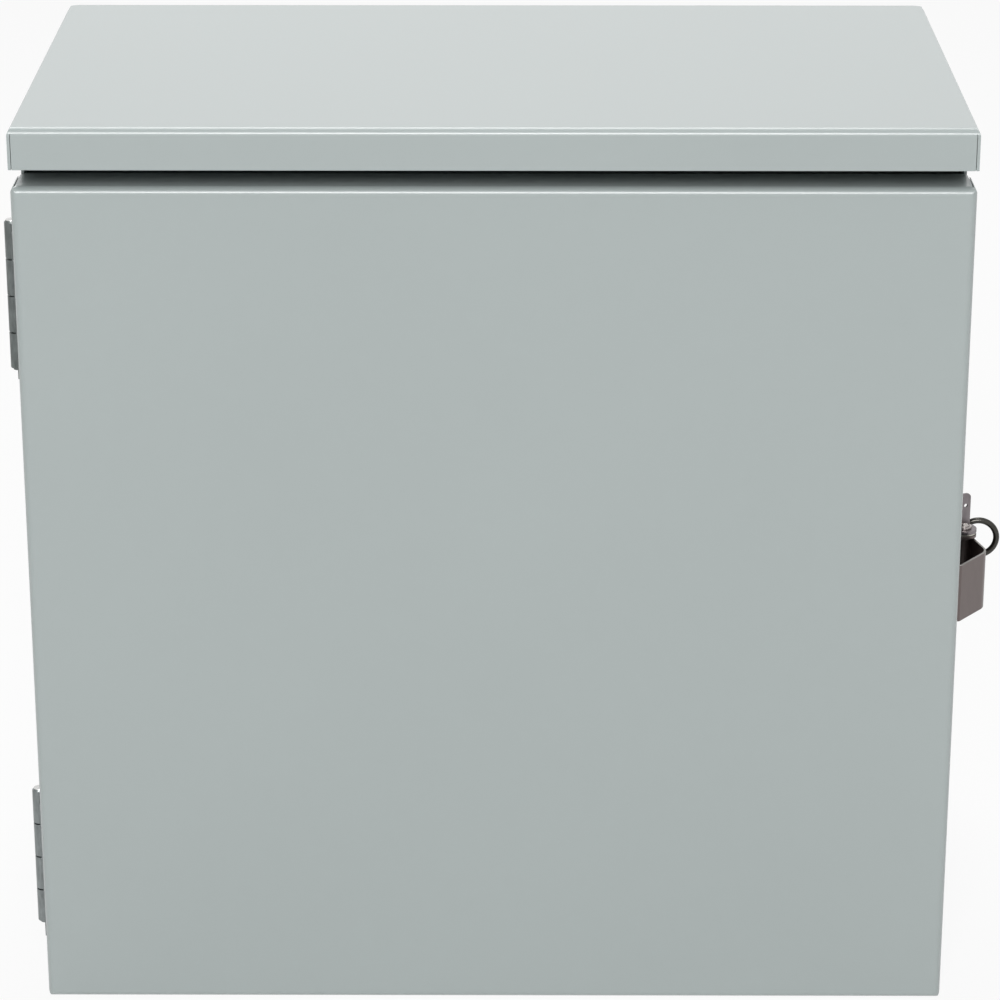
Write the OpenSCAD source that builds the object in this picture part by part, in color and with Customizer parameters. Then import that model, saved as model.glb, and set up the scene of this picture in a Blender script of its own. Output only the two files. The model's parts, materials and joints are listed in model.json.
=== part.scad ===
// Weatherproof sheet-steel wall enclosure: a welded box under a drip shield, a
// full-front pan cover on two butt hinges, and a padlockable latch on the right.
// Millimetres. The origin is the centre of the wall-hole pattern on the back face,
// +X is to the right seen from the front, +Y goes into the wall and +Z is up.

/* [Box] */
// Outside width across the side walls
body_w = 609.6; // [400:0.1:900]
// Outside height from the floor to the tops of the side walls
body_h = 616.2; // [400:0.1:900]
// Outside depth from the back to the front rim
body_d = 304.8; // [180:0.1:420]
// Thickness of the sheet steel
sheet = 1.9; // [1.2:0.1:2.6]
// Outside radius of the folded edges
bend_r = 5; // [3:0.1:6]
// Width of the return flange around the front opening
rim_w = 16; // [12:0.5:24]
// Diameter of each wall-mounting hole
wall_hole_d = 11.1; // [6:0.1:14]
// Distance of each wall hole from the nearest side wall
wall_inset_x = 50.8; // [30:0.1:90]
// Distance of each wall hole from the floor and from the top
wall_inset_z = 54.1; // [45:0.1:90]
// Diameter of the drain holes in the floor
drain_d = 6.4; // [4:0.1:10]
// Distance of each drain hole from the side wall and from the front rim
drain_inset = 40; // [30:1:80]

/* [Drip shield] */
// Height of the shield's front lip and side flanges
lip_h = 27.3; // [16:0.1:34]
// How far the lip stands in front of the cover
overhang = 11; // [3:0.1:30]
// Radius of the shield's two back corners, seen from above
shield_corner_r = 9; // [5:0.5:25]
// Slit between each lip end and its side flange
shield_seam = 0.4; // [0.3:0.1:1.5]

/* [Cover] */
// Distance from the box's front rim to the outside of the cover
cover_ahead = 27.5; // [20:0.5:45]
// Distance from the top of the shield down to the top of the cover
cover_drop = 41.7; // [36:0.1:70]
// Depth of the side and bottom flanges
flange_d = 32; // [28:0.5:38]
// Depth of the top flange
top_flange_d = 34; // [34:0.5:60]
// Depth of the dark pocket behind the cover's top flange
head_pocket = 32; // [10:1:80]
// Gap between the cover's flanges and the box
cover_clear = 1.4; // [0.8:0.1:3]
// Width of the open slit at each top corner
corner_slit = 1.2; // [0.6:0.1:3]

/* [Hinges] */
// Length of each hinge
hinge_len = 100.2; // [60:0.1:150]
// Distance of the upper hinge from the top of the cover
hinge_inset = 32.8; // [20:0.1:80]
// Distance of the lower hinge from the foot of the cover
lower_hinge_inset = 41; // [20:0.1:80]
// Diameter of the hinge pins
hinge_pin_d = 6.4; // [4:0.1:8]
// Thickness of the hinge leaves
leaf_t = 1.6; // [1.2:0.1:2.4]
// Width of each leaf, from the pin's axis to its edge
leaf_w = 26; // [20:0.5:32]
// Number of knuckles on each hinge
knuckles = 4; // [2:2:8]
// Gap between neighbouring knuckles
knuckle_gap = 1; // [0.3:0.1:1.5]
// Distance from the cover flange's back edge to the pin's axis
hinge_setback = 5.5; // [5.2:0.1:9]

/* [Latch] */
// How far the latch sits above the middle of the cover
latch_rise = 5.6; // [-60:0.1:60]
// Height of the lever's bent strap
lever_h = 40.5; // [26:0.5:60]
// Thickness of the lever's strap
lever_t = 1.5; // [1.2:0.1:2]
// Length of the lever's front leaf, from the hook to its bend
front_leaf = 32.9; // [30:0.1:36]
// Angle of the front leaf away from the side wall
front_leaf_angle = 38; // [37.5:0.1:44]
// Outside distance of the pivot from the side wall
pivot_out = 13.7; // [12.5:0.1:16]
// Distance of the pivot behind the cover's front
pivot_back = 70.3; // [69.5:0.1:73]
// Diameter of the pivot pin
pivot_d = 7.6; // [6:0.1:8]
// Thickness of the bracket's plates
bracket_t = 2; // [1.5:0.1:2.5]
// Height of the thumb tab above its foot
tab_h = 24.6; // [14:0.1:36]
// Width of the thumb tab
tab_w = 14.1; // [10:0.1:16]
// Diameter of the padlock ring's wire
ring_wire_d = 4.2; // [2.4:0.1:4.4]
// Mean radius of the padlock ring
ring_r = 12.5; // [11:0.1:15]
// Distance of the ring's plane behind the pivot
ring_back = 13.4; // [12.6:0.1:18]

/* [Inside] */
// Diameter of the panel studs
stud_d = 7.9; // [6:0.1:10]
// Length of the panel studs in front of the back wall
stud_len = 26; // [16:0.5:60]
// Distance of each panel stud from the nearest side wall
stud_inset_x = 86; // [60:1:120]
// Distance of each panel stud from the floor and from the top
stud_inset_z = 89.6; // [75:0.1:120]
// Diameter of the bonding stud
bond_d = 6; // [5:0.1:8]
// Length of the bonding stud
bond_len = 22; // [14:0.5:40]

/* [Hidden] */
$fn = 64;
slide = 0.3;
running_fit = 0.05;
press_gap = 0.02;
lap = 0.05;
paint = "#AEB6B5";
bare_steel = "#8E8B88";
zinc = "#B9B4A4";

bend_in = bend_r - sheet;
side_x = body_w / 2;
floor_z = -body_h / 2;
top_z = body_h / 2;
rim_y = -body_d;
shield_top = top_z + sheet;

cover_side = side_x + cover_clear + sheet;
cover_front = rim_y - cover_ahead;
cover_top = shield_top - cover_drop;
cover_foot = floor_z - cover_clear - sheet;
cover_mid = (cover_top + cover_foot) / 2;
flange_back = cover_front + flange_d;
ledge_z = cover_top - sheet - cover_clear;
notch_y = cover_front + top_flange_d + cover_clear;
riser_y = notch_y + head_pocket;

shield_side = side_x + press_gap + sheet;
shield_front = cover_front - overhang;

barrel_r = hinge_pin_d / 2 + running_fit + leaf_t;
hinge_x = -cover_side - barrel_r;
hinge_y = flange_back + hinge_setback;
knuckle_pitch = hinge_len / knuckles;
joggle = cover_side - side_x;
joggle_lead = 2;
joggle_start = barrel_r + joggle_lead;
joggle_run = 6;
upper_hinge_z = cover_top - hinge_inset - hinge_len;
lower_hinge_z = cover_foot + lower_hinge_inset;

latch_z = cover_mid + latch_rise;
lever_top = latch_z + lever_h / 2;
lever_foot = latch_z - lever_h / 2;
pivot = [side_x + pivot_out, cover_front + pivot_back];
eye_in = pivot_d / 2 + press_gap;
eye_out = eye_in + lever_t;
hook_gap = 0.5;
hook_reach = 2.2;
hook_x = cover_side + hook_gap + hook_reach;
front_dir = [sin(front_leaf_angle), cos(front_leaf_angle)];
bend_mid_r = 12;
ear_t = bracket_t;
ear_r = 8.4;
ear_top_z = lever_top + slide;
ear_foot_z = lever_foot - slide - ear_t;
washer_t = 1;
washer_r = 8;
foot_t = 2.4;
foot_r = 8.5;
head_t = 1.8;
head_r = 5.2;
button_r = 3;
tip_r = 3;
seal_d = 2.6;
clip_t = 1.2;
clip_r = 6.4;
clip_groove = 0.8;
tab_turn = 20;
tab_offset = 5.4;
tab_t = 1.6;
base_ahead = 16;
base_front = pivot[1] - base_ahead;
web_front = pivot[1] + ring_back + ring_wire_d / 2 + press_gap;
web_out = 2.4;
web_x = pivot[0] + web_out;
ring_off = -1;
ring_x = pivot[0] + ring_r + ring_off;
ring_drop = 6.3;
ring_z = lever_top - ring_drop;
rivet_r = 2.4;
rivet_head_r = 4.2;
rivet_head_t = 1.7;
rivet_reach = 9.5;
base_top = ear_top_z + ear_t + 2 * rivet_reach;
base_foot = ear_foot_z - 2 * rivet_reach;

strike_t = 1.5;
slot_clear = 1.2;
slot_back = 14.6;
slot_y = cover_front + slot_back;
slot_d = 9;
slot_h = lever_h + 2 * slot_clear;
strike_edge = 3.8;
strike_tail = 15;
strike_rivet_r = 2;
strike_head_t = 1.1;

collar_t = 2.2;
bond_inset_x = 70;
bond_inset_z = 60;
bond_x = -side_x + bond_inset_x;
bond_z = floor_z + bond_inset_z;
bond_nut_af = 10;
bond_nut_t = 5;
bond_washer_r = 6;
bond_washer_t = 1.2;

function unit(v) = v / norm(v);
function turned(v, a) = [v[0] * cos(a) - v[1] * sin(a), v[0] * sin(a) + v[1] * cos(a)];

// Where a line from p at the left-hand tangent of a circle touches that circle.
function tangent_point(p, centre, r) =
    let (
        d = centre - p,
        reach = sqrt(d * d - r * r),
        a = asin(r / norm(d))
    )
    p + turned(unit(d), -a) * reach;

// A w by d rectangle centred on the origin with corner radius r.
module rounded_rect(w, d, r) {
    square([w - 2 * r, d], center = true);
    square([w, d - 2 * r], center = true);
    for (sx = [-1, 1], sy = [-1, 1])
        translate([sx * (w / 2 - r), sy * (d / 2 - r)]) circle(r);
}

// A block from corner lo to corner hi.
module block(lo, hi) {
    translate(lo) cube(hi - lo);
}

// A straight strip of thickness t between two plan points.
module strip(a, b, t) {
    translate(a)
        rotate(atan2(b[1] - a[1], b[0] - a[0]))
            translate([0, -t / 2]) square([norm(b - a), t]);
}

// A strip of thickness t along a to b to c, bent at b on mean radius r.
module bent_strip(a, b, c, t, r) {
    u = unit(a - b);
    v = unit(c - b);
    half = acos(u * v) / 2;
    run = r / tan(half);
    centre = b + unit(u + v) * r / sin(half);
    strip(a, b + u * (run - lap), t);
    strip(b + v * (run - lap), c, t);
    intersection() {
        translate(centre)
            difference() {
                circle(r + t / 2);
                circle(r - t / 2);
            }
        polygon([
            centre,
            centre + 3 * (b + u * run - centre),
            centre + 3 * (b - centre),
            centre + 3 * (b + v * run - centre)
        ]);
    }
}

// Solid of a pan's outline: front edges, and the edges between flanges, rounded to r.
module pan_block(side, front, back, foot, top, r) {
    deep = back - front;
    high = top - foot;
    intersection() {
        translate([0, back, foot + high / 2])
            rotate([90, 0, 0]) linear_extrude(deep) rounded_rect(2 * side, high, r);
        translate([0, back, foot])
            linear_extrude(high) rounded_rect(2 * side, 2 * deep, r);
        translate([-side, back, foot + high / 2])
            rotate([90, 0, 90]) linear_extrude(2 * side) rounded_rect(2 * deep, high, r);
    }
}

// Hexagonal nut with its bore, standing along -Y from the plane y = 0.
module hex_nut(across_flats, bore_d, t) {
    rotate([90, 0, 0])
        difference() {
            cylinder(d = across_flats / cos(30), h = t, $fn = 6);
            translate([0, 0, -1]) cylinder(d = bore_d, h = t + 2);
        }
}

// Places a copy at each corner of a rectangle in the back wall's plane.
module at_corners(inset_x, inset_z) {
    for (sx = [-1, 1], sz = [-1, 1])
        translate([sx * (side_x - inset_x), 0, sz * (top_z - inset_z)]) children();
}

// The box's wrap: side walls and back in one sheet, with returns around the front. It is
// notched at the top front for the head channel.
module body_wrap() {
    color(paint)
    difference() {
        translate([0, -body_d / 2, floor_z])
            linear_extrude(body_h)
                difference() {
                    rounded_rect(body_w, body_d, bend_r);
                    rounded_rect(body_w - 2 * sheet, body_d - 2 * sheet, bend_in);
                    translate([0, -body_d / 2])
                        square([body_w - 2 * rim_w, 4 * sheet], center = true);
                }
        block([-side_x - 1, rim_y - 1, ledge_z - sheet - press_gap],
              [side_x + 1, notch_y + press_gap, top_z + 1]);
        for (sx = [-1, 1])
            translate([sx * side_x, rim_y / 2, top_z])
                cube([2 * bend_r, 2 * body_d, 2 * (bend_in + press_gap)], center = true);
        at_corners(wall_inset_x, wall_inset_z)
            translate([0, 1, 0]) rotate([90, 0, 0]) cylinder(d = wall_hole_d, h = sheet + 2);
        latch_rivet_places() cylinder(r = rivet_r + press_gap, h = 4 * rivet_reach, center = true);
    }
}

// The floor: a plate set between the walls, out to the front rim.
module floor_pan() {
    inner_x = side_x - sheet - press_gap;
    lip_x = side_x - rim_w - press_gap;
    color(paint)
    difference() {
        union() {
            block([-inner_x, rim_y + sheet + bend_in + press_gap, floor_z],
                  [inner_x, -sheet - bend_in - press_gap, floor_z + sheet]);
            block([-inner_x + bend_in, rim_y + sheet + press_gap, floor_z],
                  [inner_x - bend_in, -sheet - press_gap, floor_z + sheet]);
            block([-lip_x, rim_y, floor_z], [lip_x, rim_y + bend_r, floor_z + sheet]);
        }
        for (sx = [-1, 1])
            translate([sx * (side_x - drain_inset), rim_y + drain_inset, floor_z - 1])
                cylinder(d = drain_d, h = sheet + 2);
    }
}

// A flat strip on the floor's front edge that completes the rim around the opening.
module floor_lip() {
    lip_x = side_x - rim_w - press_gap;
    color(paint)
    block([-lip_x, rim_y, floor_z + sheet + press_gap], [lip_x, rim_y + sheet, floor_z + rim_w]);
}

// The head: a stepped channel that closes the box above the opening and lets the cover's
// top flange reach over it. Its riser stands back between the side walls.
module head_channel() {
    crown = top_z - press_gap;
    inner_x = side_x - sheet - press_gap;
    color(paint) {
        block([-side_x, rim_y, ledge_z - sheet], [side_x, notch_y, ledge_z]);
        block([-inner_x, rim_y, ledge_z - sheet], [inner_x, riser_y + sheet, ledge_z]);
        block([-inner_x, riser_y, ledge_z - sheet], [inner_x, riser_y + sheet, crown - bend_in]);
        block([-inner_x + bend_in, riser_y, ledge_z], [inner_x - bend_in, riser_y + sheet, crown]);
    }
}

// A flat strip under the channel's front edge that completes the rim around the opening.
module head_lip() {
    lip_x = side_x - rim_w - press_gap;
    color(paint)
    block([-lip_x, rim_y, ledge_z - rim_w], [lip_x, rim_y + sheet, ledge_z - sheet - press_gap]);
}

// The drip shield: a roof with a front lip between two side flanges.
module drip_shield() {
    lip_end = shield_side - sheet - shield_seam;
    depth = -shield_front;
    color(paint)
    difference() {
        union() {
            intersection() {
                rotate([90, 0, 0])
                    linear_extrude(depth)
                        difference() {
                            translate([0, shield_top - lip_h]) rounded_rect(2 * shield_side, 2 * lip_h, bend_r);
                            translate([0, shield_top - lip_h])
                                rounded_rect(2 * (shield_side - sheet), 2 * (lip_h - sheet), bend_in);
                            translate([0, shield_top - 2 * lip_h])
                                square([4 * shield_side, 2 * lip_h], center = true);
                        }
                shield_outline(depth);
            }
            translate([-lip_end, 0, 0])
                rotate([90, 0, 90])
                    linear_extrude(2 * lip_end)
                        difference() {
                            translate([0, shield_top - lip_h]) rounded_rect(2 * depth, 2 * lip_h, bend_r);
                            translate([0, shield_top - lip_h])
                                rounded_rect(2 * (depth - sheet), 2 * (lip_h - sheet), bend_in);
                            translate([0, shield_top - 2 * lip_h])
                                square([4 * depth, 2 * lip_h], center = true);
                            translate([depth, shield_top]) square([2 * depth, 4 * lip_h], center = true);
                        }
        }
        for (sx = [-1, 1]) {
            translate([sx * shield_side, 0, shield_top - lip_h / 2])
                difference() {
                    cube([2 * shield_corner_r, 2 * shield_corner_r, 2 * lip_h], center = true);
                    translate([-sx * shield_corner_r, -shield_corner_r, 0])
                        cylinder(r = shield_corner_r, h = 3 * lip_h, center = true);
                }
        }
    }
}

// Side outline of the shield, used to round the front ends of its side flanges.
module shield_outline(depth) {
    translate([-2 * shield_side, 0, 0])
        rotate([90, 0, 90])
            linear_extrude(4 * shield_side)
                translate([0, shield_top - lip_h]) rounded_rect(2 * depth, 2 * lip_h, bend_r);
}

// The cover: a pan with four flanges, slit open at its two top corners.
module cover() {
    slit_x = cover_side - sheet - corner_slit;
    color(paint)
    difference() {
        pan_block(cover_side, cover_front, cover_front + top_flange_d, cover_foot, cover_top, bend_r);
        pan_block(cover_side - sheet, cover_front + sheet, cover_front + 2 * top_flange_d,
                  cover_foot + sheet, cover_top - sheet, bend_in);
        block([-cover_side - 1, flange_back, cover_foot - 1],
              [cover_side + 1, cover_front + 2 * top_flange_d, cover_top - sheet - corner_slit]);
        for (sx = [-1, 1]) {
            translate([sx * (slit_x + corner_slit / 2), cover_front + bend_r + top_flange_d, cover_top])
                cube([corner_slit, 2 * top_flange_d, 2 * bend_r], center = true);
            translate([sx * (slit_x + corner_slit), flange_back + top_flange_d, cover_top])
                cube([2 * (corner_slit + sheet), 2 * top_flange_d, 4 * bend_r], center = true);
        }
        block([cover_side - 4 * sheet, slot_y, latch_z - slot_h / 2],
              [cover_side + 1, slot_y + slot_d, latch_z + slot_h / 2]);
        strike_rivet_places() cylinder(r = strike_rivet_r + press_gap, h = 4 * sheet, center = true);
    }
}

// Heights of the knuckles of one leaf: first is 0 or 1 from the hinge's foot.
function knuckle_starts(first) = [for (i = [first : 2 : knuckles - 1]) i * knuckle_pitch];

// One leaf's plate and its knuckles, in plan about the pin's axis. The plate keeps clear
// of the other leaf's knuckles.
module hinge_leaf(first, joggled) {
    plate_x = barrel_r - leaf_t / 2;
    difference() {
        union() {
            translate([0, 0, knuckle_gap / 2])
                linear_extrude(hinge_len - knuckle_gap) leaf_profile(plate_x, joggled);
            for (z = knuckle_starts(first))
                translate([0, 0, z + knuckle_gap / 2])
                    cylinder(r = barrel_r, h = knuckle_pitch - knuckle_gap);
        }
        for (z = knuckle_starts(1 - first))
            translate([0, 0, z - knuckle_gap / 2])
                cylinder(r = barrel_r + knuckle_gap, h = knuckle_pitch + knuckle_gap);
        translate([0, 0, -1]) cylinder(d = hinge_pin_d + 2 * running_fit, h = hinge_len + 2);
    }
}

// Plan of a leaf: straight along the cover's flange, or joggled in to the side wall.
module leaf_profile(plate_x, joggled) {
    near = plate_x - leaf_t / 2;
    if (joggled)
        polygon([
            [near, 0],
            [near + leaf_t, 0],
            [near + leaf_t, joggle_start],
            [near + leaf_t + joggle, joggle_start + joggle_run],
            [near + leaf_t + joggle, leaf_w],
            [near + joggle, leaf_w],
            [near + joggle, joggle_start + joggle_run],
            [near, joggle_start]
        ]);
    else
        translate([near, -leaf_w]) square([leaf_t, leaf_w]);
}

module hinge_body_leaf(z) {
    color(bare_steel) translate([hinge_x, hinge_y, z]) hinge_leaf(0, true);
}

module hinge_cover_leaf(z) {
    color(bare_steel) translate([hinge_x, hinge_y, z]) hinge_leaf(1, false);
}

// A headed pin that hangs on the hinge's top knuckle.
module hinge_pin(z) {
    cap_t = 1.6;
    color(bare_steel)
    translate([hinge_x, hinge_y, z]) {
        translate([0, 0, -knuckle_gap]) cylinder(d = hinge_pin_d, h = hinge_len + knuckle_gap);
        translate([0, 0, hinge_len - knuckle_gap / 2 + press_gap])
            cylinder(r1 = barrel_r - 0.4, r2 = barrel_r - 1.2, h = cap_t);
    }
}

// Rivet axes through the bracket's base and the side wall, pointing along X.
module latch_rivet_places() {
    for (y = [base_front + rivet_reach, web_front - rivet_reach],
         z = [base_top - rivet_reach, base_foot + rivet_reach])
        translate([side_x, y, z]) rotate([0, 90, 0]) children();
}

// The bracket: a base on the side wall, two ears for the pivot and a web for the ring.
module latch_bracket() {
    base_x = side_x + press_gap;
    color(bare_steel)
    difference() {
        union() {
            block([base_x, base_front, base_foot], [base_x + bracket_t, web_front + bracket_t, base_top]);
            for (z = [ear_top_z, ear_foot_z])
                translate([0, 0, z])
                    linear_extrude(ear_t) {
                        translate(pivot) circle(ear_r);
                        translate([base_x, pivot[1] - ear_r]) square([pivot[0] - base_x, 2 * ear_r]);
                    }
            block([base_x, web_front, ring_z - 0.7 * ring_r], [web_x, web_front + bracket_t, ring_z + 0.7 * ring_r]);
        }
        translate([pivot[0], pivot[1], ear_foot_z - 1])
            cylinder(d = pivot_d + 2 * running_fit, h = 2 * lever_h);
        latch_rivet_places() cylinder(r = rivet_r + press_gap, h = 4 * rivet_reach, center = true);
    }
}

// Four dome-headed rivets, upset inside the wall.
module latch_rivets() {
    grip = bracket_t + 2 * press_gap;
    color(bare_steel)
    latch_rivet_places() {
        translate([0, 0, -sheet - rivet_head_t]) cylinder(r = rivet_r, h = grip + sheet + rivet_head_t);
        translate([0, 0, -sheet - rivet_head_t - press_gap])
            cylinder(r1 = rivet_head_r - 1, r2 = rivet_head_r - 0.4, h = rivet_head_t);
        translate([0, 0, grip]) rivet_dome(rivet_head_r, rivet_head_t);
    }
}

// A shallow spherical head of radius r and height t on the plane z = 0.
module rivet_dome(r, t) {
    ball = (r * r + t * t) / (2 * t);
    intersection() {
        translate([0, 0, t - ball]) sphere(ball);
        cylinder(r = r + 1, h = t + 1);
    }
}

// The padlock ring, a closed loop of wire welded to the bracket's web.
module padlock_ring() {
    color(bare_steel)
    translate([ring_x, pivot[1] + ring_back, ring_z])
        rotate([90, 0, 0])
            rotate_extrude() translate([ring_r, 0]) circle(d = ring_wire_d);
}

// Plan of the lever: hook, front leaf, bend, back leaf and the eye around the pin.
module lever_plan() {
    foot = [hook_x, slot_y + slot_d / 2 - 2];
    bend = foot + front_leaf * front_dir;
    touch = tangent_point(bend, pivot, eye_in + lever_t / 2);
    difference() {
        union() {
            strip([cover_side + hook_gap, foot[1]], foot, lever_t);
            translate(foot) circle(d = lever_t);
            bent_strip(foot, bend, touch, lever_t, bend_mid_r);
            translate(pivot) circle(eye_out);
        }
        translate(pivot) circle(eye_in);
    }
}

module latch_lever() {
    color(bare_steel) translate([0, 0, lever_foot]) linear_extrude(lever_h) lever_plan();
}

// The pivot pin: a stepped button head above the tab's foot, a groove for the clip below.
module latch_pin() {
    foot_z = ear_foot_z - slide - clip_t - clip_groove;
    head_z = ear_top_z + ear_t + slide + washer_t + foot_t + 3 * press_gap;
    groove_r = pivot_d / 2 - clip_groove;
    color(bare_steel)
    translate([pivot[0], pivot[1], 0])
        difference() {
            union() {
                translate([0, 0, foot_z]) cylinder(d = pivot_d, h = head_z - foot_z);
                translate([0, 0, head_z]) cylinder(r = head_r, h = head_t);
                translate([0, 0, head_z + head_t]) rivet_dome(button_r, head_t);
            }
            translate([0, 0, ear_foot_z - slide - clip_t])
                difference() {
                    cylinder(r = pivot_d, h = clip_t);
                    translate([0, 0, -1]) cylinder(r = groove_r, h = clip_t + 2);
                }
        }
}

// The thumb tab: a round foot under the pin's head and an upright blade behind it, with a
// hole for a seal wire.
module thumb_tab() {
    foot_z = ear_top_z + ear_t + slide + washer_t + 2 * press_gap;
    color(bare_steel)
    translate([pivot[0], pivot[1], foot_z])
        rotate(tab_turn) {
            difference() {
                linear_extrude(foot_t) {
                    circle(foot_r);
                    translate([-tab_w / 2, 0]) square([tab_w, tab_offset + tab_t]);
                }
                translate([0, 0, -1]) cylinder(d = pivot_d + 2 * press_gap, h = foot_t + 2);
            }
            translate([0, tab_offset + tab_t, 0])
                rotate([90, 0, 0])
                    difference() {
                        linear_extrude(tab_t) tab_outline();
                        translate([tab_w / 4, 0.65 * tab_h, -1]) cylinder(d = seal_d, h = tab_t + 2);
                    }
        }
}

// Upright outline of the blade: straight sides and two round top corners.
module tab_outline() {
    translate([-tab_w / 2, 0]) square([tab_w, tab_h - tip_r]);
    translate([tip_r - tab_w / 2, 0]) square([tab_w - 2 * tip_r, tab_h]);
    for (sx = [-1, 1])
        translate([sx * (tab_w / 2 - tip_r), tab_h - tip_r]) circle(tip_r);
}

// A plain washer between the top ear and the tab.
module latch_washer() {
    color(zinc)
    translate([pivot[0], pivot[1], ear_top_z + ear_t + slide + press_gap])
        difference() {
            cylinder(r = washer_r, h = washer_t);
            translate([0, 0, -1]) cylinder(d = pivot_d + 2 * press_gap, h = washer_t + 2);
        }
}

// A retaining ring that snaps into the pin's groove under the bottom ear.
module latch_clip() {
    inner = pivot_d / 2 - clip_groove + press_gap;
    color(bare_steel)
    translate([pivot[0], pivot[1], ear_foot_z - slide - clip_t + press_gap])
        linear_extrude(clip_t - 2 * press_gap)
            difference() {
                circle(clip_r);
                circle(inner);
                translate([0, clip_r]) square([1.4 * inner, 2 * clip_r], center = true);
            }
}

// Axes of the two strike rivets, pointing along X through the cover's right flange.
module strike_rivet_places() {
    for (sz = [-1, 1])
        translate([cover_side - sheet, slot_y + slot_d / 2, latch_z + sz * (slot_h / 2 + strike_tail / 2)])
            rotate([0, 90, 0]) children();
}

// The strike: a doubler plate inside the cover's flange, slotted for the hook.
module strike_plate() {
    outer = cover_side - sheet - press_gap;
    color(zinc)
    difference() {
        block([outer - strike_t, slot_y - strike_edge, latch_z - slot_h / 2 - strike_tail],
              [outer, slot_y + slot_d + strike_edge, latch_z + slot_h / 2 + strike_tail]);
        block([outer - strike_t - 1, slot_y, latch_z - slot_h / 2],
              [outer + 1, slot_y + slot_d, latch_z + slot_h / 2]);
        strike_rivet_places() cylinder(r = strike_rivet_r + press_gap, h = 4 * sheet, center = true);
    }
}

// Flush-topped rivets that hold the strike to the flange.
module strike_rivets() {
    color(zinc)
    strike_rivet_places() {
        translate([0, 0, -strike_t - 2 * press_gap - strike_head_t])
            cylinder(r = strike_rivet_r, h = strike_t + 3 * press_gap + strike_head_t + sheet);
        translate([0, 0, sheet + press_gap]) rivet_dome(1.7 * strike_rivet_r, strike_head_t);
        translate([0, 0, -strike_t - 3 * press_gap - strike_head_t])
            cylinder(r = 1.6 * strike_rivet_r, h = strike_head_t);
    }
}

// Four collar studs welded inside the back wall for an inner panel.
module panel_studs() {
    color(zinc)
    at_corners(stud_inset_x, stud_inset_z)
        translate([0, -sheet, 0])
            rotate([90, 0, 0]) {
                cylinder(d = stud_d, h = stud_len);
                cylinder(r = stud_d, h = collar_t);
            }
}

// The bonding stud with its washer and nut, low on the left of the back wall.
module bond_stud() {
    color(zinc)
    translate([bond_x, -sheet, bond_z])
        rotate([90, 0, 0]) {
            cylinder(d = bond_d, h = bond_len);
            cylinder(r = bond_d, h = collar_t);
        }
}

module bond_washer() {
    color(zinc)
    translate([bond_x, -sheet - collar_t - press_gap, bond_z])
        rotate([90, 0, 0])
            difference() {
                cylinder(r = bond_washer_r, h = bond_washer_t);
                translate([0, 0, -1]) cylinder(d = bond_d + 2 * press_gap, h = bond_washer_t + 2);
            }
}

module bond_nut() {
    color(zinc)
    translate([bond_x, -sheet - collar_t - bond_washer_t - 2 * press_gap, bond_z])
        hex_nut(bond_nut_af, bond_d + 2 * press_gap, bond_nut_t);
}

body_wrap();
floor_pan();
floor_lip();
head_channel();
head_lip();
drip_shield();
cover();
hinge_body_leaf(upper_hinge_z);  // upper_hinge_body_leaf
hinge_cover_leaf(upper_hinge_z);  // upper_hinge_cover_leaf
hinge_pin(upper_hinge_z);  // upper_hinge_pin
hinge_body_leaf(lower_hinge_z);  // lower_hinge_body_leaf
hinge_cover_leaf(lower_hinge_z);  // lower_hinge_cover_leaf
hinge_pin(lower_hinge_z);  // lower_hinge_pin
latch_bracket();
latch_rivets();
padlock_ring();
latch_lever();
latch_pin();
thumb_tab();
latch_washer();
latch_clip();
strike_plate();
strike_rivets();
panel_studs();
bond_stud();
bond_washer();
bond_nut();
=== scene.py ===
"""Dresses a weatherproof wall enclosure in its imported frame.

The box, cover and drip shield get a grey powder coat, the hinges and the latch get
worked steel, and small fittings are modelled here. All lengths are in metres.
"""

from __future__ import annotations

import json
import logging
import math
from dataclasses import dataclass, field, replace
from enum import Enum

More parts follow.
